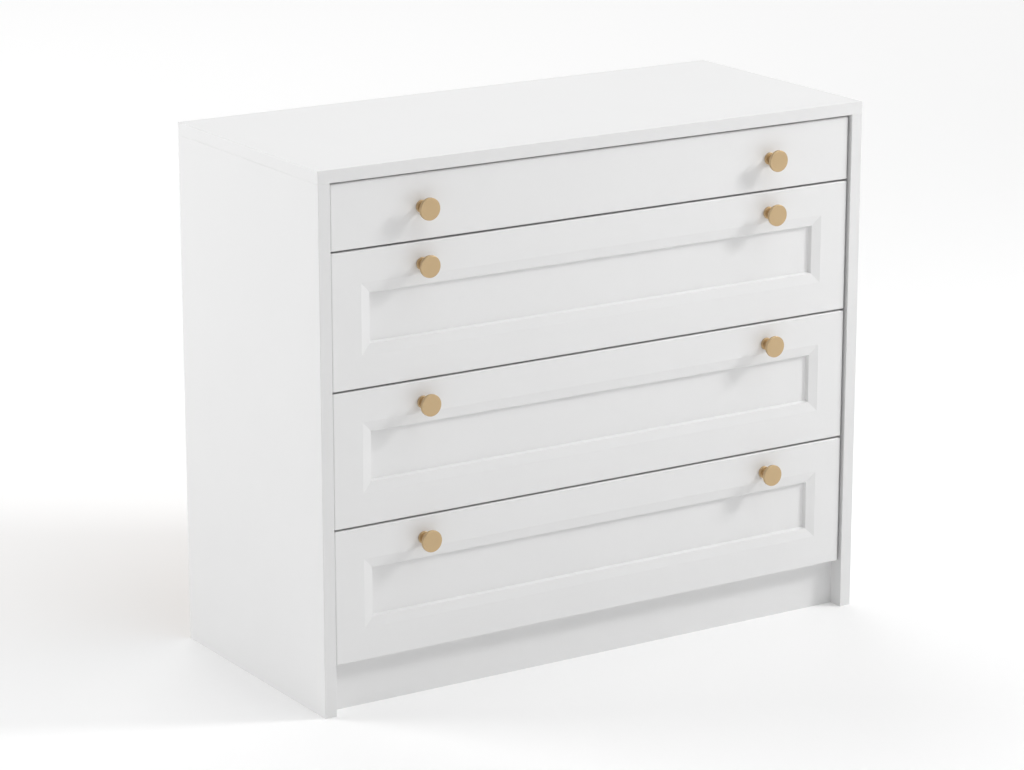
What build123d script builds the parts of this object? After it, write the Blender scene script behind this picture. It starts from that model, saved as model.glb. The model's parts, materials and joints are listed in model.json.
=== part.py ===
from build123d import *
import os

# Chest of drawers: one shallow drawer over three deep ones, in a flat-pack carcass.
# Millimetres. +X to the right, +Y to the back, +Z up. The drawer fronts face -Y.
# The origin is on the floor, under the middle of the whole object, knobs included.

# ---------------------------------------------------------------- driving dimensions
WIDTH = 900.0
DEPTH = 395.0                # side panels, front edge to back edge
HEIGHT = 763.0
BOARD = 18.0                 # carcass boards and drawer fronts
THIN_BOARD = 12.0            # drawer sides and backs
SHEET = 3.0                  # hardboard: back panel and drawer bottoms
EDGE_RADIUS = 0.5            # softened edges of the carcass boards

FRONT_GAP = 2.8              # above and below every drawer front
SIDE_GAP = 3.2               # beside every drawer front
FRONT_RECESS = 4.6           # drawer fronts behind the side panels' front edges
FRONT_CLEARANCE = 1.0        # between a drawer front and the carcass behind it
FRONT_EDGE_RADIUS = 1.8
FRONT_CORNER_RADIUS = 2.0
SHALLOW_FRONT = 91.5         # height of the top drawer's front
FRONTS_START = 71.5          # lower edge of the lowest front
FRAME_FACE = 45.2            # flat border around the sunk panel
BEVEL_WIDTH = 14.3
BEVEL_DEPTH = 3.0
STEP_WIDTH = 2.2
STEP_DEPTH = 5.0

KNOB_RADIUS = 15.5
KNOB_HEAD = 4.5
KNOB_NECK_RADIUS = 5.0
KNOB_FOOT_RADIUS = 8.8
KNOB_FOOT = 3.2
KNOB_LENGTH = 23.6
KNOB_ROUNDING = 1.0           # on the rims of the head and the foot
KNOB_COVE_RADIUS = 1.8        # where the neck meets the head and the foot
KNOB_FROM_SIDE = 140.0       # knob axis from the front's side edge
KNOB_FROM_TOP = 30.2         # knob axis below the top edge of a deep front

PLINTH_HEIGHT = 80.0
BACK_INSET = 12.0            # back panel in front of the carcass's back edges
BACK_PANEL_OVERLAP = 20.0    # back panel below the upper edge of the plinth
GROOVE_DEPTH = 6.0
GROOVE_CLEARANCE = 0.1       # on each face of a sheet in its groove
GROOVE_END_PLAY = 0.5        # between the edge of a sheet and the bottom of its groove
OVERCUT = 1.0                # how far a cut starts outside the board it cuts

RUNNER_LENGTH = 350.0
RUNNER_SPACE = 13.0          # between a drawer side and the side panel
DEEP_SIDE = 145.0            # height of a deep drawer's sides
DEEP_SIDE_RISE = 30.0        # drawer sides above the lower edge of their front
DEEP_RUNNER_RISE = 80.0      # runner axis above the lower edge of the sides
SHALLOW_SIDE = 65.0
SHALLOW_SIDE_RISE = 12.0
SHALLOW_RUNNER_RISE = 27.0
DRAWER_FLOOR_RISE = 9.0      # drawer bottom above the lower edge of the sides
HIGH_CAM_DROP = 14.0         # cams of a drawer box below the upper edge of its sides
LOW_CAM_RISE = 32.0          # and, in a deep box, above their lower edge

# ---------------------------------------------------------------- planes worked out from them
KNOB_PROUD = KNOB_LENGTH - FRONT_RECESS
FRONT_EDGE = (KNOB_PROUD - DEPTH) / 2
BACK_EDGE = FRONT_EDGE + DEPTH
FACE_Y = FRONT_EDGE + FRONT_RECESS
FRONT_BACK_Y = FACE_Y + BOARD
CARCASS_Y = FRONT_BACK_Y + FRONT_CLEARANCE
BACK_PANEL_Y = BACK_EDGE - BACK_INSET - SHEET
SIDE_X = WIDTH / 2 - BOARD
UNDER_TOP = HEIGHT - BOARD
PLINTH_REAR_Y = BACK_PANEL_Y - BOARD
FRONT_WIDTH = 2 * (SIDE_X - SIDE_GAP)
DEEP_FRONT = (UNDER_TOP - FRONTS_START - SHALLOW_FRONT - 4 * FRONT_GAP) / 3
BOX_X = SIDE_X - RUNNER_SPACE
BOX_INNER_X = BOX_X - THIN_BOARD
BOX_BACK_Y = FRONT_BACK_Y + RUNNER_LENGTH
KNOB_X = FRONT_WIDTH / 2 - KNOB_FROM_SIDE
BACK_PANEL_LOW = PLINTH_HEIGHT - BACK_PANEL_OVERLAP

# ---------------------------------------------------------------- fittings
DOWEL_RADIUS = 4.0
DOWEL_LENGTH = 30.0
DOWEL_IN_FACE = 12.0         # the part of a dowel in the board whose face it enters
DOWEL_END_PLAY = 1.0
DOWEL_CHAMFER = 1.0
FIT = 0.05                   # radial play of a fitting in its hole
POCKET_PLAY = 0.1            # between a cam and the bottom of its pocket
THREAD_END_PLAY = 0.5

CAM_REACH = 24.0             # cam axis to the end of its board
CAM_RADIUS = 7.5
CAM_DEPTH = 12.5
CAM_MOUTH = 4.0              # width of the opening that takes the bolt's neck
CAM_CROSS = (1.2, 1.5)       # width and depth of the screwdriver cross in a cam
BOLT_THREAD = 11.0
SMALL_CAM_RADIUS = 6.0
SMALL_CAM_DEPTH = 9.5
SMALL_BOLT_THREAD = 8.0
BOLT_RADIUS = 2.5
BOLT_NECK_RADIUS = 1.6
BOLT_NECK_LENGTH = 9.0       # head included
BOLT_HEAD_RADIUS = 2.7
BOLT_HEAD_THICKNESS = 2.0
BOLT_HEAD_PLACE = 0.28       # middle of the bolt's head from the cam's axis, as a part of the cam's radius
BOLT_COLLAR = 1.5
BOLT_PASSAGE_RADIUS = 3.0

TOP_CAM_Y = (-140.0, 150.0)
TOP_DOWEL_Y = (-105.0, 115.0)
BOTTOM_CAM_Y = (-130.0, 150.0)
BOTTOM_DOWEL_Y = (-95.0, 115.0)
PLINTH_CAM_Z = 54.0
PLINTH_DOWEL_Z = 24.0

RUNNER_SHEET = 1.2
RUNNER_SETBACK = 1.0         # outer members behind the carcass's front boards
OUTER_CHANNEL = (0.0, 9.5, 22.5, 3.5)             # from x, to x, half height, lip
MIDDLE_CHANNEL = (4.0, 11.0, 18.0, 2.4)
INNER_CHANNEL = (6.0, RUNNER_SPACE, 13.5, 2.4)
RUNNER_SCREW_Y = (-129.0, 11.0, 151.0)
DRAWER_SCREW_Y = (-125.0, 140.0)
RUNNER_SCREW_RADIUS = 1.7
RUNNER_SCREW_LENGTH = 10.0
RUNNER_SCREW_HEAD = (3.5, 1.8)                    # radius and height
KNOB_SCREW_RADIUS = 2.0
KNOB_SCREW_HEAD = (4.0, 2.4)
KNOB_SCREW_IN_KNOB = 10.0
KNOB_SCREW_PLAY = 0.3        # radial play of a knob's screw in the front
KNOB_HOLE_END_PLAY = 2.0
SCREW_CROSS_WIDTH = 0.9

BRACKET_X = 300.0
BRACKET_WIDTH = 40.0
BRACKET_LEG = 25.0
BRACKET_ARM = 30.0
BRACKET_SHEET = 2.0
BRACKET_BEND = 1.0           # inner radius of the bend
BRACKET_SCREW_Y = BACK_PANEL_Y - 18.0
BRACKET_SCREW_FROM_MIDDLE = 11.0
WALL_HOLE_RADIUS = 2.75
WALL_HOLE_Z = UNDER_TOP - 15.0


def stack_of_drawers():
    """The four drawers from top to bottom, with the heights that differ between them."""
    rows = []
    for index in range(4):
        shallow = index == 0
        low = FRONTS_START + (3 - index) * (DEEP_FRONT + FRONT_GAP)
        high = low + (SHALLOW_FRONT if shallow else DEEP_FRONT)
        side_low = low + (SHALLOW_SIDE_RISE if shallow else DEEP_SIDE_RISE)
        side_high = side_low + (SHALLOW_SIDE if shallow else DEEP_SIDE)
        rows.append({
            "name": f"drawer_{index + 1}",
            "panelled": not shallow,
            "low": low,
            "high": high,
            "knob_z": high - (SHALLOW_FRONT / 2 if shallow else KNOB_FROM_TOP),
            "side_low": side_low,
            "side_high": side_high,
            "floor": side_low + DRAWER_FLOOR_RISE,
            "runner_z": side_low + (SHALLOW_RUNNER_RISE if shallow else DEEP_RUNNER_RISE),
            "cam_z": [side_high - HIGH_CAM_DROP] + ([] if shallow else [side_low + LOW_CAM_RISE]),
        })
    return rows


# ---------------------------------------------------------------- helpers, used inside a BuildPart block
def slab(low, high, mode=Mode.ADD):
    """A box between two corners."""
    size = [b - a for a, b in zip(low, high)]
    middle = [(a + b) / 2 for a, b in zip(low, high)]
    with Locations(tuple(middle)):
        Box(*size, mode=mode)


def bore(start, direction, radius, length):
    """A round hole from the point start, length deep along direction."""
    with Locations(Plane(origin=start, z_dir=direction)):
        Cylinder(radius, length, align=(Align.CENTER, Align.CENTER, Align.MIN), mode=Mode.SUBTRACT)


def save(part, name):
    part.label = name
    export_step(part, f"parts/{name}.step")


# ---------------------------------------------------------------- fasteners
def pan_screw(plane, head, shank_radius, length):
    """A pan-head screw: its head stands on the plane, its shank goes down through it."""
    head_radius, head_height = head
    dome = head_height * 0.4
    point = shank_radius * 0.45
    cross_length = head_radius * 1.1
    upwards = Axis(plane.origin, plane.z_dir)
    with BuildPart(plane) as screw:
        Cylinder(head_radius, head_height, align=(Align.CENTER, Align.CENTER, Align.MIN))
        fillet(screw.edges().filter_by(GeomType.CIRCLE).group_by(upwards)[-1], dome)
        Cylinder(shank_radius, length, align=(Align.CENTER, Align.CENTER, Align.MAX))
        chamfer(screw.edges().filter_by(GeomType.CIRCLE).group_by(upwards)[0], point)
        for turn in (0, 90):
            with Locations((0, 0, head_height)):
                Box(cross_length, SCREW_CROSS_WIDTH, head_height, rotation=(0, 0, turn), mode=Mode.SUBTRACT)
    return screw.part


def cam(plane, radius, depth, board):
    """A cam: a slotted drum sunk in the plane, open along the plane's x to take the bolt's head."""
    middle = -board / 2
    hollow = 2 * BOLT_PASSAGE_RADIUS
    hollow_length = radius * 0.9
    cross_length = radius * 1.3
    cross_width, cross_depth = CAM_CROSS
    with BuildPart(plane) as drum:
        Cylinder(radius, depth, align=(Align.CENTER, Align.CENTER, Align.MAX))
        with Locations((radius * BOLT_HEAD_PLACE, 0, middle)):
            Box(hollow_length, hollow, hollow, mode=Mode.SUBTRACT)
        with Locations((radius, 0, middle)):
            Box(radius, CAM_MOUTH, CAM_MOUTH, mode=Mode.SUBTRACT)
        for turn in (45, 135):
            Box(cross_length, cross_width, 2 * cross_depth, rotation=(0, 0, turn), mode=Mode.SUBTRACT)
    return drum.part


def cam_bolt(plane, radius, thread, board):
    """The bolt of a cam fitting: head in the cam, neck along the plane's x, thread in the next board."""
    head_start = radius * BOLT_HEAD_PLACE - BOLT_HEAD_THICKNESS / 2
    neck_end = head_start + BOLT_NECK_LENGTH
    lengths = (
        (BOLT_HEAD_RADIUS, head_start, head_start + BOLT_HEAD_THICKNESS),
        (BOLT_NECK_RADIUS, head_start, neck_end),
        (BOLT_RADIUS, neck_end, CAM_REACH + thread),
        (BOLT_PASSAGE_RADIUS - FIT, CAM_REACH - BOLT_COLLAR, CAM_REACH),
    )
    from_begin = (Align.CENTER, Align.CENTER, Align.MIN)
    with BuildPart(plane) as bolt:
        for radius_here, begin, end in lengths:
            with Locations((begin, 0, -board / 2)):
                Cylinder(radius_here, end - begin, rotation=(0, 90, 0), align=from_begin)
    return bolt.part


def dowel(plane):
    """A beech dowel along the plane's normal, DOWEL_IN_FACE of it beyond the plane."""
    with BuildPart(plane.offset(DOWEL_IN_FACE - DOWEL_LENGTH)) as peg:
        Cylinder(DOWEL_RADIUS, DOWEL_LENGTH - DOWEL_END_PLAY, align=(Align.CENTER, Align.CENTER, Align.MIN))
        chamfer(peg.edges().filter_by(GeomType.CIRCLE), DOWEL_CHAMFER)
    return peg.part


def carcass_cam_planes():
    """The plane of each carcass cam: origin on its axis at the board's face, x towards the next board."""
    planes = []
    for side in (-1, 1):
        inward = (-side, 0, 0)
        for y in TOP_CAM_Y:
            planes.append(Plane((side * SIDE_X, y, UNDER_TOP - CAM_REACH), x_dir=(0, 0, 1), z_dir=inward))
        cam_x = side * (SIDE_X - CAM_REACH)
        for y in BOTTOM_CAM_Y:
            planes.append(Plane((cam_x, y, PLINTH_HEIGHT), x_dir=(side, 0, 0), z_dir=(0, 0, -1)))
        hidden_faces = ((CARCASS_Y + BOARD, 1), (PLINTH_REAR_Y, -1))
        for y, facing in hidden_faces:
            planes.append(Plane((cam_x, y, PLINTH_CAM_Z), x_dir=(side, 0, 0), z_dir=(0, facing, 0)))
    return planes


def carcass_dowel_planes():
    """The plane of each carcass dowel: on the joint, normal into the board whose face it enters."""
    planes = []
    for side in (-1, 1):
        outward = (side, 0, 0)
        for y in TOP_DOWEL_Y:
            planes.append(Plane((side * (SIDE_X + BOARD / 2), y, UNDER_TOP), z_dir=(0, 0, 1)))
        for y in BOTTOM_DOWEL_Y:
            planes.append(Plane((side * SIDE_X, y, PLINTH_HEIGHT + BOARD / 2), z_dir=outward))
        for y in (CARCASS_Y + BOARD / 2, PLINTH_REAR_Y + BOARD / 2):
            planes.append(Plane((side * SIDE_X, y, PLINTH_DOWEL_Z), z_dir=outward))
    return planes


def cam_holes(plane, radius, depth, thread, board):
    """Inside the boards of one cam fitting: the cam's pocket, the bolt's passage and its thread hole."""
    along = tuple(plane.x_dir)
    bore(tuple(plane.origin), tuple(-plane.z_dir), radius + FIT, depth + POCKET_PLAY)
    middle = plane.origin - plane.z_dir * (board / 2)
    bore(tuple(middle), along, BOLT_PASSAGE_RADIUS, CAM_REACH)
    bore(tuple(middle + plane.x_dir * CAM_REACH), along, BOLT_RADIUS + FIT, thread + THREAD_END_PLAY)


def dowel_hole(plane):
    start = plane.origin + plane.z_dir * (DOWEL_IN_FACE - DOWEL_LENGTH)
    bore(tuple(start), tuple(plane.z_dir), DOWEL_RADIUS + FIT, DOWEL_LENGTH)


# ---------------------------------------------------------------- carcass
def carcass_holes(reaches):
    """The fitting holes of the board being built: reaches(point, way) picks them by place and direction."""
    for plane in carcass_cam_planes():
        if reaches(plane.origin, plane.x_dir):
            cam_holes(plane, CAM_RADIUS, CAM_DEPTH, BOLT_THREAD, BOARD)
    for plane in carcass_dowel_planes():
        if reaches(plane.origin, plane.z_dir):
            dowel_hole(plane)


def top_panel():
    with BuildPart() as panel:
        slab((-WIDTH / 2, FRONT_EDGE, UNDER_TOP), (WIDTH / 2, BACK_EDGE, HEIGHT))
        fillet(panel.edges(), EDGE_RADIUS)
        groove_x = SIDE_X + GROOVE_DEPTH
        slab((-groove_x, BACK_PANEL_Y - GROOVE_CLEARANCE, UNDER_TOP - OVERCUT),
             (groove_x, BACK_PANEL_Y + SHEET + GROOVE_CLEARANCE, UNDER_TOP + GROOVE_DEPTH), Mode.SUBTRACT)
        carcass_holes(lambda _, way: way.Z > 0.5)
        for spot in bracket_screw_spots():
            bore((*spot, UNDER_TOP), (0, 0, 1), RUNNER_SCREW_RADIUS + FIT, RUNNER_SCREW_LENGTH)
    return panel.part


def side_panel(side):
    low_x, high_x = sorted((side * SIDE_X, side * WIDTH / 2))
    groove_low_x, groove_high_x = sorted((side * (SIDE_X - OVERCUT), side * (SIDE_X + GROOVE_DEPTH)))
    with BuildPart() as panel:
        slab((low_x, FRONT_EDGE, 0), (high_x, BACK_EDGE, UNDER_TOP))
        fillet(panel.edges(), EDGE_RADIUS)
        slab((groove_low_x, BACK_PANEL_Y - GROOVE_CLEARANCE, BACK_PANEL_LOW - GROOVE_END_PLAY),
             (groove_high_x, BACK_PANEL_Y + SHEET + GROOVE_CLEARANCE, UNDER_TOP + OVERCUT), Mode.SUBTRACT)
        carcass_holes(lambda point, _: point.X * side > 0)
        for row in stack_of_drawers():
            for y in RUNNER_SCREW_Y:
                start = (side * SIDE_X, y, row["runner_z"])
                bore(start, (side, 0, 0), RUNNER_SCREW_RADIUS + FIT, RUNNER_SCREW_LENGTH)
    return panel.part


def bottom_panel():
    with BuildPart() as panel:
        slab((-SIDE_X, CARCASS_Y, PLINTH_HEIGHT), (SIDE_X, BACK_PANEL_Y, PLINTH_HEIGHT + BOARD))
        carcass_holes(lambda point, _: PLINTH_HEIGHT <= point.Z < UNDER_TOP / 2)
    return panel.part


def plinth(y_low):
    middle_y = y_low + BOARD / 2
    with BuildPart() as board:
        slab((-SIDE_X, y_low, 0), (SIDE_X, y_low + BOARD, PLINTH_HEIGHT))
        carcass_holes(lambda point, _: point.Z < PLINTH_HEIGHT and abs(point.Y - middle_y) < BOARD)
    return board.part


def back_panel():
    reach = GROOVE_DEPTH - GROOVE_END_PLAY
    with BuildPart() as panel:
        slab((-SIDE_X - reach, BACK_PANEL_Y, BACK_PANEL_LOW),
             (SIDE_X + reach, BACK_PANEL_Y + SHEET, UNDER_TOP + reach))
        for x in (-BRACKET_X, BRACKET_X):
            bore((x, BACK_PANEL_Y, WALL_HOLE_Z), (0, 1, 0), WALL_HOLE_RADIUS, SHEET)
    return panel.part


def bracket_screw_spots():
    offsets = (-BRACKET_SCREW_FROM_MIDDLE, BRACKET_SCREW_FROM_MIDDLE)
    return [(x + offset, BRACKET_SCREW_Y) for x in (-BRACKET_X, BRACKET_X) for offset in offsets]


def wall_brackets():
    """Two steel angles: an arm under the top panel and a leg against the back panel."""
    leg_low = UNDER_TOP - BRACKET_LEG
    arm_y = BACK_PANEL_Y - BRACKET_ARM
    leg_y = BACK_PANEL_Y - BRACKET_SHEET
    under_arm = UNDER_TOP - BRACKET_SHEET
    with BuildPart() as brackets:
        for x in (-BRACKET_X, BRACKET_X):
            with BuildSketch(Plane((x - BRACKET_WIDTH / 2, 0, 0), x_dir=(0, 1, 0), z_dir=(1, 0, 0))):
                with BuildLine():
                    FilletPolyline((arm_y, UNDER_TOP), (BACK_PANEL_Y, UNDER_TOP), (BACK_PANEL_Y, leg_low),
                                   radius=BRACKET_BEND + BRACKET_SHEET)
                    Line((BACK_PANEL_Y, leg_low), (leg_y, leg_low))
                    FilletPolyline((leg_y, leg_low), (leg_y, under_arm), (arm_y, under_arm),
                                   radius=BRACKET_BEND)
                    Line((arm_y, under_arm), (arm_y, UNDER_TOP))
                make_face()
            extrude(amount=BRACKET_WIDTH)
            bore((x, leg_y, WALL_HOLE_Z), (0, 1, 0), WALL_HOLE_RADIUS, BRACKET_SHEET)
        for spot in bracket_screw_spots():
            bore((*spot, under_arm), (0, 0, 1), RUNNER_SCREW_RADIUS + FIT, BRACKET_SHEET)
    return brackets.part


def carcass_cam_fittings():
    with BuildPart() as fittings:
        for plane in carcass_cam_planes():
            add(cam(plane, CAM_RADIUS, CAM_DEPTH, BOARD))
            add(cam_bolt(plane, CAM_RADIUS, BOLT_THREAD, BOARD))
    return fittings.part


def carcass_dowels():
    with BuildPart() as dowels:
        for plane in carcass_dowel_planes():
            add(dowel(plane))
    return dowels.part


def carcass_screws():
    """The screws of the outer runner members and of the wall brackets, all of one size."""
    planes = [Plane((*spot, UNDER_TOP - BRACKET_SHEET), z_dir=(0, 0, -1)) for spot in bracket_screw_spots()]
    for side in (-1, 1):
        for row in stack_of_drawers():
            for y in RUNNER_SCREW_Y:
                head_x = side * (SIDE_X - RUNNER_SHEET)
                planes.append(Plane((head_x, y, row["runner_z"]), x_dir=(0, 1, 0), z_dir=(-side, 0, 0)))
    with BuildPart() as screws:
        for plane in planes:
            add(pan_screw(plane, RUNNER_SCREW_HEAD, RUNNER_SCREW_RADIUS, RUNNER_SCREW_LENGTH))
    return screws.part


# ---------------------------------------------------------------- runners
def runner_plane(side, y, z):
    """A plane on the side panel's inner face: x points to the drawer, y up."""
    return Plane((side * SIDE_X, y, z), x_dir=(-side, 0, 0), z_dir=(0, side, 0))


def channel(side, y, z, length, shape, opens):
    """A bent-sheet C channel; opens is 1 towards the drawer and -1 towards the side panel."""
    start, end, half_height, lip = shape
    width = end - start
    mouth_x = end if opens > 0 else start
    with BuildSketch(runner_plane(side, y, z)) as profile:
        with Locations(((start + end) / 2, 0)):
            Rectangle(width, 2 * half_height)
            fillet(profile.vertices(), RUNNER_SHEET)
            Rectangle(width - 2 * RUNNER_SHEET, 2 * (half_height - RUNNER_SHEET), mode=Mode.SUBTRACT)
        with Locations((mouth_x, 0)):
            Rectangle(3 * RUNNER_SHEET, 2 * (half_height - lip), mode=Mode.SUBTRACT)
    extrude(profile.sketch, amount=side * length)


def runner_outer_members():
    with BuildPart() as members:
        for side in (-1, 1):
            for row in stack_of_drawers():
                channel(side, CARCASS_Y + RUNNER_SETBACK, row["runner_z"], RUNNER_LENGTH, OUTER_CHANNEL, 1)
                for y in RUNNER_SCREW_Y:
                    start = (side * SIDE_X, y, row["runner_z"])
                    bore(start, (-side, 0, 0), RUNNER_SCREW_RADIUS + FIT, 2 * RUNNER_SHEET)
    return members.part


def runner_middle_members(row):
    with BuildPart() as members:
        for side in (-1, 1):
            start_y = CARCASS_Y + 2 * RUNNER_SETBACK
            channel(side, start_y, row["runner_z"], RUNNER_LENGTH - 2 * RUNNER_SETBACK, MIDDLE_CHANNEL, 1)
    return members.part


def runner_inner_members(row):
    with BuildPart() as members:
        for side in (-1, 1):
            channel(side, CARCASS_Y, row["runner_z"], RUNNER_LENGTH - RUNNER_SETBACK, INNER_CHANNEL, -1)
            for y in DRAWER_SCREW_Y:
                start = (side * BOX_X, y, row["runner_z"])
                bore(start, (side, 0, 0), RUNNER_SCREW_RADIUS + FIT, 2 * RUNNER_SHEET)
    return members.part


def drawer_runner_screws(row):
    with BuildPart() as screws:
        for side in (-1, 1):
            for y in DRAWER_SCREW_Y:
                head_x = side * (BOX_X + RUNNER_SHEET)
                plane = Plane((head_x, y, row["runner_z"]), x_dir=(0, 1, 0), z_dir=(side, 0, 0))
                add(pan_screw(plane, RUNNER_SCREW_HEAD, RUNNER_SCREW_RADIUS, RUNNER_SCREW_LENGTH))
    return screws.part


# ---------------------------------------------------------------- drawers
def front_cam_planes(row):
    return [Plane((side * BOX_X, FRONT_BACK_Y + CAM_REACH, z), x_dir=(0, -1, 0), z_dir=(side, 0, 0))
            for side in (-1, 1) for z in row["cam_z"]]


def back_cam_planes(row):
    return [Plane((side * (BOX_INNER_X - CAM_REACH), BOX_BACK_Y, z), x_dir=(side, 0, 0), z_dir=(0, 1, 0))
            for side in (-1, 1) for z in row["cam_z"]]


def drawer_cam_holes(planes):
    for plane in planes:
        cam_holes(plane, SMALL_CAM_RADIUS, SMALL_CAM_DEPTH, SMALL_BOLT_THREAD, THIN_BOARD)


def sunk_panel(face, height):
    """The rectangle sunk in a front: a wide shallow bevel, then a steep narrow step, mitred corners."""
    borders = (
        (0.0, FRAME_FACE),
        (BEVEL_DEPTH, FRAME_FACE + BEVEL_WIDTH),
        (BEVEL_DEPTH + STEP_DEPTH, FRAME_FACE + BEVEL_WIDTH + STEP_WIDTH),
    )
    outlines = []
    for depth, border in borders:
        with BuildSketch(face.offset(-depth)) as outline:
            Rectangle(FRONT_WIDTH - 2 * border, height - 2 * border)
        outlines.append(outline.sketch.face())
    for pair in zip(outlines, outlines[1:]):
        loft(pair, ruled=True, mode=Mode.SUBTRACT)


def drawer_front(row):
    height = row["high"] - row["low"]
    face = Plane((0, FACE_Y, (row["low"] + row["high"]) / 2), x_dir=(1, 0, 0), z_dir=(0, -1, 0))
    groove_x = BOX_INNER_X + GROOVE_DEPTH
    with BuildPart() as front:
        slab((-FRONT_WIDTH / 2, FACE_Y, row["low"]), (FRONT_WIDTH / 2, FRONT_BACK_Y, row["high"]))
        fillet(front.edges().filter_by(Axis.Y), FRONT_CORNER_RADIUS)
        fillet(front.faces().sort_by(Axis.Y)[0].edges(), FRONT_EDGE_RADIUS)
        if row["panelled"]:
            sunk_panel(face, height)
        slab((-groove_x, FRONT_BACK_Y - GROOVE_DEPTH, row["floor"] - GROOVE_CLEARANCE),
             (groove_x, FRONT_BACK_Y + OVERCUT, row["floor"] + SHEET + GROOVE_CLEARANCE), Mode.SUBTRACT)
        drawer_cam_holes(front_cam_planes(row))
        for side in (-1, 1):
            start = (side * KNOB_X, FRONT_BACK_Y, row["knob_z"])
            bore(start, (0, -1, 0), KNOB_SCREW_RADIUS + KNOB_SCREW_PLAY, BOARD)
    return front.part


def drawer_side(row, side):
    low_x, high_x = sorted((side * BOX_INNER_X, side * BOX_X))
    groove_bottom = side * (BOX_INNER_X + GROOVE_DEPTH)
    groove_low_x, groove_high_x = sorted((side * (BOX_INNER_X - OVERCUT), groove_bottom))
    with BuildPart() as board:
        slab((low_x, FRONT_BACK_Y, row["side_low"]), (high_x, BOX_BACK_Y, row["side_high"]))
        fillet(board.edges().filter_by(Axis.Y).group_by(Axis.Z)[-1], EDGE_RADIUS)
        slab((groove_low_x, FRONT_BACK_Y - OVERCUT, row["floor"] - GROOVE_CLEARANCE),
             (groove_high_x, BOX_BACK_Y + OVERCUT, row["floor"] + SHEET + GROOVE_CLEARANCE), Mode.SUBTRACT)
        drawer_cam_holes(front_cam_planes(row) + back_cam_planes(row))
        for y in DRAWER_SCREW_Y:
            start = (side * BOX_X, y, row["runner_z"])
            bore(start, (-side, 0, 0), RUNNER_SCREW_RADIUS + FIT, RUNNER_SCREW_LENGTH)
    return board.part


def drawer_back(row):
    with BuildPart() as board:
        slab((-BOX_INNER_X, BOX_BACK_Y - THIN_BOARD, row["floor"] + SHEET),
             (BOX_INNER_X, BOX_BACK_Y, row["side_high"]))
        fillet(board.edges().filter_by(Axis.X).group_by(Axis.Z)[-1], EDGE_RADIUS)
        drawer_cam_holes(back_cam_planes(row))
    return board.part


def drawer_bottom(row):
    reach = GROOVE_DEPTH - GROOVE_END_PLAY
    with BuildPart() as sheet:
        slab((-BOX_INNER_X - reach, FRONT_BACK_Y - reach, row["floor"]),
             (BOX_INNER_X + reach, BOX_BACK_Y, row["floor"] + SHEET))
    return sheet.part


def knob(row, side):
    """A flat round head, a thin neck and a small foot, turned in one piece, with a blind screw hole."""
    foot = (side * KNOB_X, FACE_Y, row["knob_z"])
    under_head = KNOB_LENGTH - KNOB_HEAD
    corner = (Align.MIN, Align.MIN)
    with BuildPart() as turned:
        with BuildSketch(Plane(foot, x_dir=(1, 0, 0), z_dir=(0, 0, -1))) as profile:
            Rectangle(KNOB_NECK_RADIUS, under_head, align=corner)
            Rectangle(KNOB_FOOT_RADIUS, KNOB_FOOT, align=corner)
            with Locations((0, under_head)):
                Rectangle(KNOB_RADIUS, KNOB_HEAD, align=corner)
            neck_corners, foot_rim, head_rim = profile.vertices().group_by(Axis.X)[-3:]
            fillet(head_rim + foot_rim.sort_by(Axis.Y)[-1:], KNOB_ROUNDING)
            fillet(neck_corners, KNOB_COVE_RADIUS)
            Rectangle(KNOB_SCREW_RADIUS + FIT, KNOB_SCREW_IN_KNOB + KNOB_HOLE_END_PLAY, align=corner,
                      mode=Mode.SUBTRACT)
        revolve(axis=Axis(foot, (0, -1, 0)))
    return turned.part


def knob_screws(row):
    with BuildPart() as screws:
        for side in (-1, 1):
            plane = Plane((side * KNOB_X, FRONT_BACK_Y, row["knob_z"]), x_dir=(1, 0, 0), z_dir=(0, 1, 0))
            add(pan_screw(plane, KNOB_SCREW_HEAD, KNOB_SCREW_RADIUS, BOARD + KNOB_SCREW_IN_KNOB))
    return screws.part


def drawer_cam_fittings(row):
    with BuildPart() as fittings:
        for plane in front_cam_planes(row) + back_cam_planes(row):
            add(cam(plane, SMALL_CAM_RADIUS, SMALL_CAM_DEPTH, THIN_BOARD))
            add(cam_bolt(plane, SMALL_CAM_RADIUS, SMALL_BOLT_THREAD, THIN_BOARD))
    return fittings.part


# ---------------------------------------------------------------- build and write every piece
os.makedirs("parts", exist_ok=True)

save(top_panel(), "top_panel")
save(side_panel(-1), "side_panel_left")
save(side_panel(1), "side_panel_right")
save(bottom_panel(), "bottom_panel")
save(back_panel(), "back_panel")
save(plinth(CARCASS_Y), "plinth_front")
save(plinth(PLINTH_REAR_Y), "plinth_rear")
save(carcass_cam_fittings(), "carcass_cam_fittings")
save(carcass_dowels(), "carcass_dowels")
save(carcass_screws(), "carcass_screws")
save(wall_brackets(), "wall_brackets")
save(runner_outer_members(), "runner_outer_members")

for drawer in stack_of_drawers():
    name = drawer["name"]
    save(drawer_front(drawer), f"{name}_front")
    save(drawer_side(drawer, -1), f"{name}_side_left")
    save(drawer_side(drawer, 1), f"{name}_side_right")
    save(drawer_back(drawer), f"{name}_back")
    save(drawer_bottom(drawer), f"{name}_bottom")
    save(knob(drawer, -1), f"{name}_knob_left")
    save(knob(drawer, 1), f"{name}_knob_right")
    save(knob_screws(drawer), f"{name}_knob_screws")
    save(drawer_cam_fittings(drawer), f"{name}_cam_fittings")
    save(runner_middle_members(drawer), f"{name}_runner_middle")
    save(runner_inner_members(drawer), f"{name}_runner_inner")
    save(drawer_runner_screws(drawer), f"{name}_runner_screws")
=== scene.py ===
import json
from math import cos, radians, sin

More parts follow.
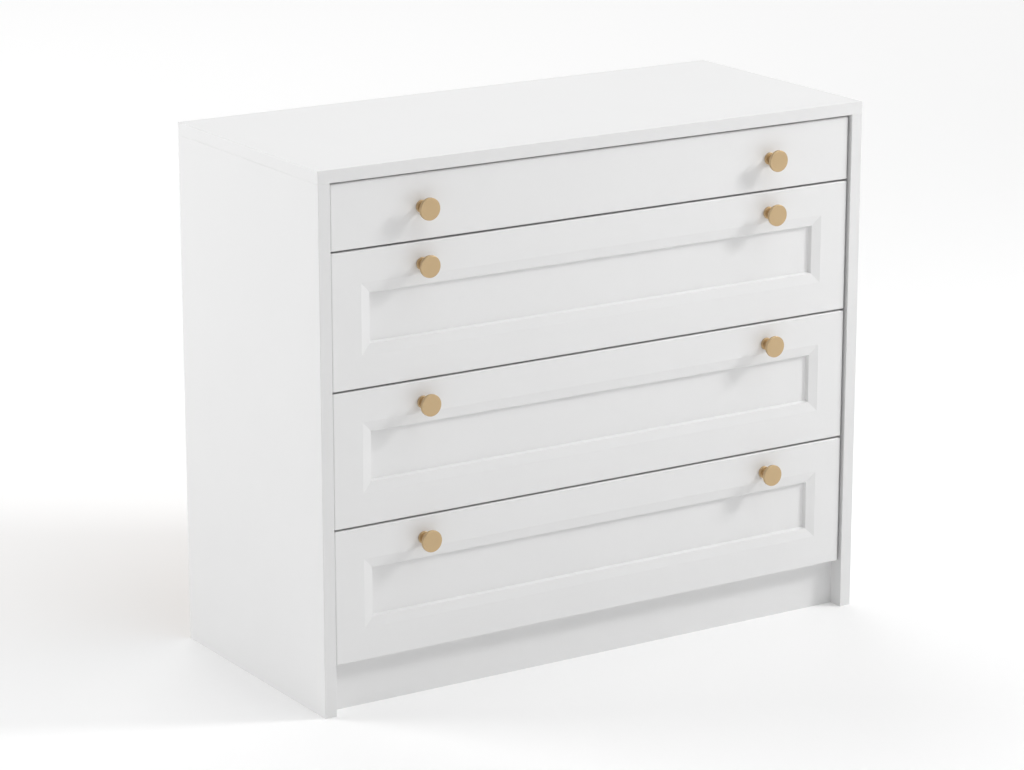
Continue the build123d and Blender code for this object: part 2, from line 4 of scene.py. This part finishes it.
import bpy
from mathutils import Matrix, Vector

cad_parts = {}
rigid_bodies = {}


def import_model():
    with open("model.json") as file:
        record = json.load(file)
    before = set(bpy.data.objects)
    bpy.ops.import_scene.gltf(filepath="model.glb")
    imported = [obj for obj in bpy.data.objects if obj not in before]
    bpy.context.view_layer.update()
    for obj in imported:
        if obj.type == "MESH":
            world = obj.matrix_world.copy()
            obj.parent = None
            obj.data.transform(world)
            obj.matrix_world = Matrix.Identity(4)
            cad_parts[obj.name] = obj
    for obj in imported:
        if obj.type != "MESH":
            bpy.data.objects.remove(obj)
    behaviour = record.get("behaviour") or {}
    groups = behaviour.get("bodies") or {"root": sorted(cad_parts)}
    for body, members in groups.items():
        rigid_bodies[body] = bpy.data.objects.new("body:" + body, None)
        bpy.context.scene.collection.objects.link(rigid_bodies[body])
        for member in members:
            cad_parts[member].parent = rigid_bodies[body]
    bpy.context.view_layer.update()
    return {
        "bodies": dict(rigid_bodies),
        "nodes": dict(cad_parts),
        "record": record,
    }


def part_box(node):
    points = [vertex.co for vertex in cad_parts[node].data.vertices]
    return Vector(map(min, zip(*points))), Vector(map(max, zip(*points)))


# The looks of a white flat-pack chest of drawers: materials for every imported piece,
# a white studio and the camera. Metres; +X right, +Y back, +Z up; the fronts face -Y.

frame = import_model()
NODES = frame["nodes"]
MILLIMETRE = 0.001
cad_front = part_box("top_panel")[0][1]
DRAWERS = [
    name for name in frame["bodies"]
    if name.startswith("drawer_") and not name.endswith("_runners")
]


# ---------------------------------------------------------------- node materials
class Recipe:
    """A node material being written: each method adds one node and returns its output."""

    def __init__(self, name):
        self.material = bpy.data.materials.new(name)
        self.material.use_nodes = True
        self.tree = self.material.node_tree
        self.tree.nodes.clear()
        self.surface = self.tree.nodes.new("ShaderNodeBsdfPrincipled")
        output = self.tree.nodes.new("ShaderNodeOutputMaterial")
        self.tree.links.new(self.surface.outputs["BSDF"], output.inputs["Surface"])
        self.place = self.tree.nodes.new("ShaderNodeTexCoord").outputs["Object"]

    def feed(self, socket, value):
        """Gives a socket a constant, or links an output to it."""
        if isinstance(value, bpy.types.NodeSocket):
            self.tree.links.new(value, socket)
        else:
            socket.default_value = value

    def set(self, **values):
        """Sets the shader's own sockets, named with underscores for spaces."""
        for name, value in values.items():
            self.feed(self.surface.inputs[name.replace("_", " ")], value)

    def math(self, operation, *values):
        node = self.tree.nodes.new("ShaderNodeMath")
        node.operation = operation
        for socket, value in zip(node.inputs, values):
            self.feed(socket, value)
        return node.outputs["Value"]

    def length(self, first, second):
        """The length of a plane vector with these two components."""
        squares = [self.math("POWER", component, 2.0) for component in (first, second)]
        return self.math("SQRT", self.math("ADD", *squares))

    def axis(self, letter):
        """One of the piece's own coordinates: X, Y or Z."""
        node = self.tree.nodes.new("ShaderNodeSeparateXYZ")
        self.feed(node.inputs["Vector"], self.place)
        return node.outputs[letter]

    def scaled(self, factors):
        """The piece's own coordinates, stretched by a factor along each axis."""
        node = self.tree.nodes.new("ShaderNodeVectorMath")
        node.operation = "MULTIPLY"
        self.feed(node.inputs[0], self.place)
        self.feed(node.inputs[1], factors)
        return node.outputs["Vector"]

    def vector(self, x, y, z):
        node = self.tree.nodes.new("ShaderNodeCombineXYZ")
        for socket, value in zip(node.inputs, (x, y, z)):
            self.feed(socket, value)
        return node.outputs["Vector"]

    def noise(self, scale, detail=2.0, roughness=0.5, vector=None):
        """Noise from 0 to 1 with scale features to the metre."""
        node = self.tree.nodes.new("ShaderNodeTexNoise")
        self.feed(node.inputs["Vector"], vector or self.place)
        self.feed(node.inputs["Scale"], scale)
        self.feed(node.inputs["Detail"], detail)
        self.feed(node.inputs["Roughness"], roughness)
        return node.outputs["Fac"]

    def cells(self, scale, output="Color"):
        """Cells, scale of them to the metre: a colour for each, or the distance from its middle."""
        node = self.tree.nodes.new("ShaderNodeTexVoronoi")
        self.feed(node.inputs["Vector"], self.place)
        self.feed(node.inputs["Scale"], scale)
        return node.outputs[output]

    def between(self, value, low, high, to_low=0.0, to_high=1.0):
        """Maps low..high to to_low..to_high, smoothly and clamped."""
        node = self.tree.nodes.new("ShaderNodeMapRange")
        node.interpolation_type = "SMOOTHSTEP"
        for socket, number in zip(node.inputs, (value, low, high, to_low, to_high)):
            self.feed(socket, number)
        return node.outputs["Result"]

    def mix(self, factor, first, second):
        node = self.tree.nodes.new("ShaderNodeMix")
        node.data_type = "RGBA"
        self.feed(node.inputs["Factor"], factor)
        for name, colour in (("A", first), ("B", second)):
            socket = [s for s in node.inputs if s.name == name and s.type == "RGBA"][0]
            self.feed(socket, colour)
        return [s for s in node.outputs if s.type == "RGBA"][0]

    def edges(self, radius):
        """1 on the arrises, fading to 0 about one radius away from them."""
        bevel = self.tree.nodes.new("ShaderNodeBevel")
        bevel.samples = 4
        self.feed(bevel.inputs["Radius"], radius)
        flat = self.tree.nodes.new("ShaderNodeNewGeometry").outputs["Normal"]
        product = self.tree.nodes.new("ShaderNodeVectorMath")
        product.operation = "DOT_PRODUCT"
        self.feed(product.inputs[0], bevel.outputs["Normal"])
        self.feed(product.inputs[1], flat)
        return self.between(product.outputs["Value"], 0.99, 0.75)

    def facing(self, heading):
        """1 on faces that look along heading, 0 on the others."""
        flat = self.tree.nodes.new("ShaderNodeNewGeometry").outputs["True Normal"]
        product = self.tree.nodes.new("ShaderNodeVectorMath")
        product.operation = "DOT_PRODUCT"
        self.feed(product.inputs[0], flat)
        self.feed(product.inputs[1], heading)
        return self.math("GREATER_THAN", product.outputs["Value"], 0.9)

    def any_facing(self, headings):
        """1 on faces that look along any of headings."""
        mask = self.facing(headings[0])
        for heading in headings[1:]:
            mask = self.math("MAXIMUM", mask, self.facing(heading))
        return mask

    def bump(self, height, distance, strength=1.0, below=None):
        """Bump of the given height map; below is a bump that this one lies on."""
        node = self.tree.nodes.new("ShaderNodeBump")
        self.feed(node.inputs["Height"], height)
        self.feed(node.inputs["Distance"], distance)
        self.feed(node.inputs["Strength"], strength)
        if below:
            self.feed(node.inputs["Normal"], below)
        return node.outputs["Normal"]


WHITE = (1, 1, 1, 1)
WHITE_LOW = (0.792, 0.792, 0.792, 1)
WHITE_HIGH = (0.808, 0.808, 0.808, 1)
WHITE_RUBBED = (0.825, 0.825, 0.825, 1)
WHITE_BAND = (0.770, 0.770, 0.770, 1)
SEAM = (0.70, 0.69, 0.67, 1)
BRASS_DARK = (0.56, 0.41, 0.235, 1)
BRASS_LIGHT = (0.62, 0.46, 0.27, 1)
BRASS_RIM = (0.63, 0.475, 0.285, 1)

TO_FRONT, TO_BACK = (0, -1, 0), (0, 1, 0)
TO_LEFT, TO_RIGHT = (-1, 0, 0), (1, 0, 0)
DOWNWARDS = (0, 0, -1)

RUBBED_EDGE = 0.6 * MILLIMETRE
WORN_BRASS_EDGE = 0.5 * MILLIMETRE
EDGE_BAND = 1.0 * MILLIMETRE
SEAM_OUTSIDE, SEAM_CORE = 0.12 * MILLIMETRE, 0.04 * MILLIMETRE
CHIPS_PER_METRE = 650.0
CHIP_HEIGHT = -8.0
FOIL_GLOSS_SPREAD = 0.04
BRASS_METAL_SHARE = 0.8
SPANGLE_TONE = 0.95


def chip_colour(recipe):
    """Bare particle board: small flat chips of many tones, with dark gaps between them."""
    chips = recipe.cells(CHIPS_PER_METRE)
    gaps = recipe.between(recipe.cells(CHIPS_PER_METRE, "Distance"), 0.55, 0.85)
    wood = recipe.mix(chips, (0.36, 0.25, 0.15, 1), (0.66, 0.52, 0.35, 1))
    return recipe.mix(gaps, wood, (0.20, 0.13, 0.08, 1))


def white_foil(name, grain_scale, grain_depth, roughness, banded=(), bare=()):
    """White foil on particle board: an even pearl grain, rubbed a little at the arrises.

    Banded faces carry a glued-on edging, a shade darker, and bare faces show the board itself.
    """
    recipe = Recipe(name)
    clouds = recipe.noise(9.0, 3.0)
    colour = recipe.mix(clouds, WHITE_LOW, WHITE_HIGH)
    rubbed = recipe.edges(RUBBED_EDGE)
    colour = recipe.mix(rubbed, colour, WHITE_RUBBED)
    if banded:
        past_glue = recipe.math("SUBTRACT", recipe.axis("Y"), cad_front + EDGE_BAND)
        from_glue = recipe.math("ABSOLUTE", past_glue)
        seam = recipe.between(from_glue, SEAM_OUTSIDE, SEAM_CORE)
        seamed = recipe.mix(seam, colour, SEAM)
        colour = recipe.mix(recipe.any_facing(banded), seamed, WHITE_BAND)
    grain = recipe.noise(grain_scale, 3.0, 0.6)
    height = grain
    if bare:
        raw = recipe.any_facing(bare)
        colour = recipe.mix(raw, colour, chip_colour(recipe))
        from_chip_middle = recipe.cells(CHIPS_PER_METRE, "Distance")
        chips = recipe.math("MULTIPLY", from_chip_middle, CHIP_HEIGHT)
        height = recipe.math("ADD", grain, recipe.math("MULTIPLY", raw, chips))
    glossy, dull = roughness - FOIL_GLOSS_SPREAD, roughness + FOIL_GLOSS_SPREAD
    smooth = recipe.between(grain, 0.3, 0.7, glossy, dull)
    recipe.set(Base_Color=colour, Normal=recipe.bump(height, grain_depth))
    recipe.set(Roughness=recipe.math("SUBTRACT", smooth, recipe.math("MULTIPLY", rubbed, 0.08)))
    return recipe.material


def carcass_board(name, banded=(), bare=()):
    """The carcass's own foil, with a coarser grain than the drawers'."""
    return white_foil(name, 900.0, 0.03 * MILLIMETRE, 0.46, banded, bare)


def drawer_board(name, bare):
    """The drawer boxes' foil, finer and duller."""
    return white_foil(name, 1600.0, 0.02 * MILLIMETRE, 0.55, bare=bare)


def front_board():
    """Sprayed satin lacquer: slight orange peel, fine dust grain, glossier at the arrises."""
    recipe = Recipe("front_lacquer")
    clouds = recipe.noise(7.0, 2.0)
    rubbed = recipe.edges(RUBBED_EDGE)
    lacquer = recipe.mix(clouds, WHITE_LOW, WHITE_HIGH)
    recipe.set(Base_Color=recipe.mix(rubbed, lacquer, WHITE_RUBBED))
    smooth = recipe.between(clouds, 0.3, 0.7, 0.38, 0.44)
    recipe.set(Roughness=recipe.math("SUBTRACT", smooth, recipe.math("MULTIPLY", rubbed, 0.06)))
    peel = recipe.bump(recipe.noise(420.0, 1.0), 0.02 * MILLIMETRE)
    recipe.set(Normal=recipe.bump(recipe.noise(2600.0, 2.0), 0.004 * MILLIMETRE, below=peel))
    return recipe.material


def hardboard(name, bare):
    """Hardboard: one face printed white, the other bare, with pressed brown fibres."""
    recipe = Recipe(name)
    fibres = recipe.noise(300.0, 6.0, 0.7)
    strands = recipe.noise(1.0, 4.0, 0.7, recipe.scaled((900.0, 120.0, 260.0)))
    printed = recipe.mix(fibres, (0.76, 0.76, 0.755, 1), (0.80, 0.80, 0.795, 1))
    brown = recipe.mix(strands, (0.26, 0.16, 0.09, 1), (0.45, 0.30, 0.18, 1))
    raw = recipe.any_facing(bare)
    recipe.set(Base_Color=recipe.mix(raw, printed, brown))
    recipe.set(Roughness=recipe.between(fibres, 0.3, 0.7, 0.52, 0.66))
    recipe.set(Normal=recipe.bump(recipe.math("ADD", fibres, strands), 0.04 * MILLIMETRE))
    return recipe.material


def brass_knob(name, knob):
    """Satin brass turned on a lathe: fine rings about the knob's axis, slightly paler arrises."""
    recipe = Recipe(name)
    low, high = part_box(knob)
    across = recipe.math("SUBTRACT", recipe.axis("X"), (low[0] + high[0]) / 2)
    upward = recipe.math("SUBTRACT", recipe.axis("Z"), (low[2] + high[2]) / 2)
    outward = recipe.math("MULTIPLY", recipe.length(across, upward), 9000.0)
    along = recipe.math("MULTIPLY", recipe.axis("Y"), 5000.0)
    rings = recipe.noise(1.0, 2.0, 0.6, recipe.vector(outward, along, 0.0))
    speckle = recipe.noise(3000.0, 3.0, 0.6)
    worn = recipe.edges(WORN_BRASS_EDGE)
    shade = recipe.mix(speckle, BRASS_DARK, BRASS_LIGHT)
    recipe.set(Base_Color=recipe.mix(worn, shade, BRASS_RIM), Metallic=BRASS_METAL_SHARE)
    uneven = recipe.math("ADD", rings, speckle)
    recipe.set(Roughness=recipe.between(uneven, 0.7, 1.3, 0.42, 0.52))
    recipe.set(Normal=recipe.bump(rings, 0.006 * MILLIMETRE))
    return recipe.material


def steel(name, colour, low, high):
    """Zinc-plated steel: faint crystal spangle, drawing marks along Y, roughness low to high."""
    recipe = Recipe(name)
    spangle = recipe.cells(260.0)
    marks = recipe.noise(1.0, 3.0, 0.6, recipe.scaled((2500.0, 40.0, 2500.0)))
    darker = tuple(SPANGLE_TONE * channel for channel in colour[:3]) + (1,)
    recipe.set(Base_Color=recipe.mix(spangle, colour, darker), Metallic=1.0)
    uneven = recipe.math("ADD", marks, spangle)
    recipe.set(Roughness=recipe.between(uneven, 0.4, 1.4, low, high))
    recipe.set(Normal=recipe.bump(marks, 0.003 * MILLIMETRE))
    return recipe.material


def beech():
    """Bare beech: grain along Y, with short dark flecks."""
    recipe = Recipe("beech")
    rings = recipe.noise(1.0, 4.0, 0.6, recipe.scaled((90.0, 700.0, 90.0)))
    flecks = recipe.between(recipe.cells(900.0, "Distance"), 0.10, 0.02)
    wood = recipe.mix(rings, (0.60, 0.40, 0.22, 1), (0.74, 0.55, 0.34, 1))
    recipe.set(Base_Color=recipe.mix(flecks, wood, (0.42, 0.25, 0.13, 1)))
    recipe.set(Roughness=recipe.between(rings, 0.3, 0.7, 0.55, 0.66))
    recipe.set(Normal=recipe.bump(rings, 0.05 * MILLIMETRE))
    return recipe.material


outer_board = carcass_board("outer_board_foil", banded=(TO_FRONT,), bare=(TO_BACK,))
standing_board = carcass_board("side_board_foil", banded=(TO_FRONT,), bare=(TO_BACK, DOWNWARDS))
inner_board = carcass_board("inner_board_foil", bare=(TO_LEFT, TO_RIGHT))
box_side = drawer_board("drawer_side_foil", (DOWNWARDS, TO_BACK))
box_back = drawer_board("drawer_back_foil", (TO_LEFT, TO_RIGHT))
zinc = steel("zinc_plate", (0.64, 0.65, 0.66, 1), 0.28, 0.40)
# A finish for each material slot of the record, then the nodes that take one of their own.
finishes = {
    "white_board": inner_board,
    "front_board": front_board(),
    "drawer_board": box_side,
    "white_hardboard": hardboard("drawer_bottom_hardboard", (DOWNWARDS,)),
    "zinc_fittings": zinc,
    "runner_steel": steel("runner_zinc", (0.60, 0.61, 0.62, 1), 0.30, 0.40),
    "beech_dowel": beech(),
}
own_finishes = {
    "top_panel": outer_board,
    "side_panel_left": standing_board,
    "side_panel_right": standing_board,
    "back_panel": hardboard("back_panel_hardboard", (TO_BACK,)),
}
for drawer in DRAWERS:
    own_finishes[f"{drawer}_back"] = box_back
    for side in ("left", "right"):
        knob = f"{drawer}_knob_{side}"
        own_finishes[knob] = brass_knob(f"brass_{knob}", knob)
for entry in frame["record"]["subparts"]:
    node = entry["node"]
    for slot in NODES[node].material_slots:
        slot.material = own_finishes.get(node) or finishes[entry["material_slot"]]


# ---------------------------------------------------------------- studio
CHEST_MIDDLE = Vector((0, 0, 0.38))
FLOOR_HALF_WIDTH = 30.0
# The floor's own glow rises from NEAR_GLOW to FAR_GLOW between these distances from the middle.
GLOW_STARTS, GLOW_FULL = 1.5, 8.0
NEAR_GLOW, FAR_GLOW = 0.15, 0.52


def direction(azimuth, elevation):
    """A unit vector: azimuth in degrees from +Y towards +X, elevation above the horizon."""
    a, e = radians(azimuth), radians(elevation)
    return Vector((sin(a) * cos(e), cos(a) * cos(e), sin(e)))


def pale_floor():
    """A wide white floor that glows more away from the chest, where the lamps don't reach."""
    half = FLOOR_HALF_WIDTH
    mesh = bpy.data.meshes.new("floor")
    corners = [(-half, -half, 0), (half, -half, 0), (half, half, 0), (-half, half, 0)]
    mesh.from_pydata(corners, [], [(0, 1, 2, 3)])
    floor = bpy.data.objects.new("floor", mesh)
    bpy.context.scene.collection.objects.link(floor)
    recipe = Recipe("pale_floor")
    recipe.set(Base_Color=(0.8, 0.8, 0.8, 1), Roughness=0.9)
    reach = recipe.length(recipe.axis("X"), recipe.axis("Y"))
    glow = recipe.between(reach, GLOW_STARTS, GLOW_FULL, NEAR_GLOW, FAR_GLOW)
    recipe.set(Emission_Color=WHITE, Emission_Strength=glow)
    mesh.materials.append(recipe.material)


def soft_box(name, azimuth, elevation, distance, width, height, power):
    """A rectangular area light that looks at the middle of the chest."""
    lamp = bpy.data.lights.new(name, "AREA")
    lamp.shape = "RECTANGLE"
    lamp.size = width
    lamp.size_y = height
    lamp.energy = power
    light = bpy.data.objects.new(name, lamp)
    bpy.context.scene.collection.objects.link(light)
    towards = direction(azimuth, elevation)
    light.location = CHEST_MIDDLE + towards * distance
    light.rotation_euler = towards.to_track_quat("Z", "Y").to_euler()


def white_surround(strength):
    """An even white light from all round."""
    world = bpy.data.worlds.new("studio")
    world.use_nodes = True
    background = world.node_tree.nodes["Background"]
    background.inputs["Color"].default_value = WHITE
    background.inputs["Strength"].default_value = strength
    bpy.context.scene.world = world


def level_camera():
    """The camera stands front left of the chest, held level, and looks down without lens shift."""
    data = bpy.data.cameras.new("camera")
    data.sensor_width = 36.0
    data.lens = 127.93
    data.clip_end = 100.0
    camera = bpy.data.objects.new("camera", data)
    bpy.context.scene.collection.objects.link(camera)
    aimed_at = Vector((-0.028, 0.0, 0.367))
    line_of_sight = direction(32.553, -15.391)
    distance = 5.242
    camera.location = aimed_at - line_of_sight * distance
    camera.rotation_euler = line_of_sight.to_track_quat("-Z", "Y").to_euler()
    bpy.context.scene.camera = camera


# name, azimuth, elevation, distance, width, height, power in watts
SOFT_BOXES = (
    ("key", 121, 32, 3.8, 0.65, 0.65, 57),
    ("high_right", 150, 60, 6.0, 4.5, 4.5, 98),
    ("left_back", 310, 25, 6.0, 3.0, 3.0, 172),
    ("back", 20, 45, 6.0, 3.0, 3.0, 72),
)

pale_floor()
white_surround(0.39)
for soft_box_values in SOFT_BOXES:
    soft_box(*soft_box_values)
level_camera()
bpy.context.scene.view_settings.view_transform = "Standard"
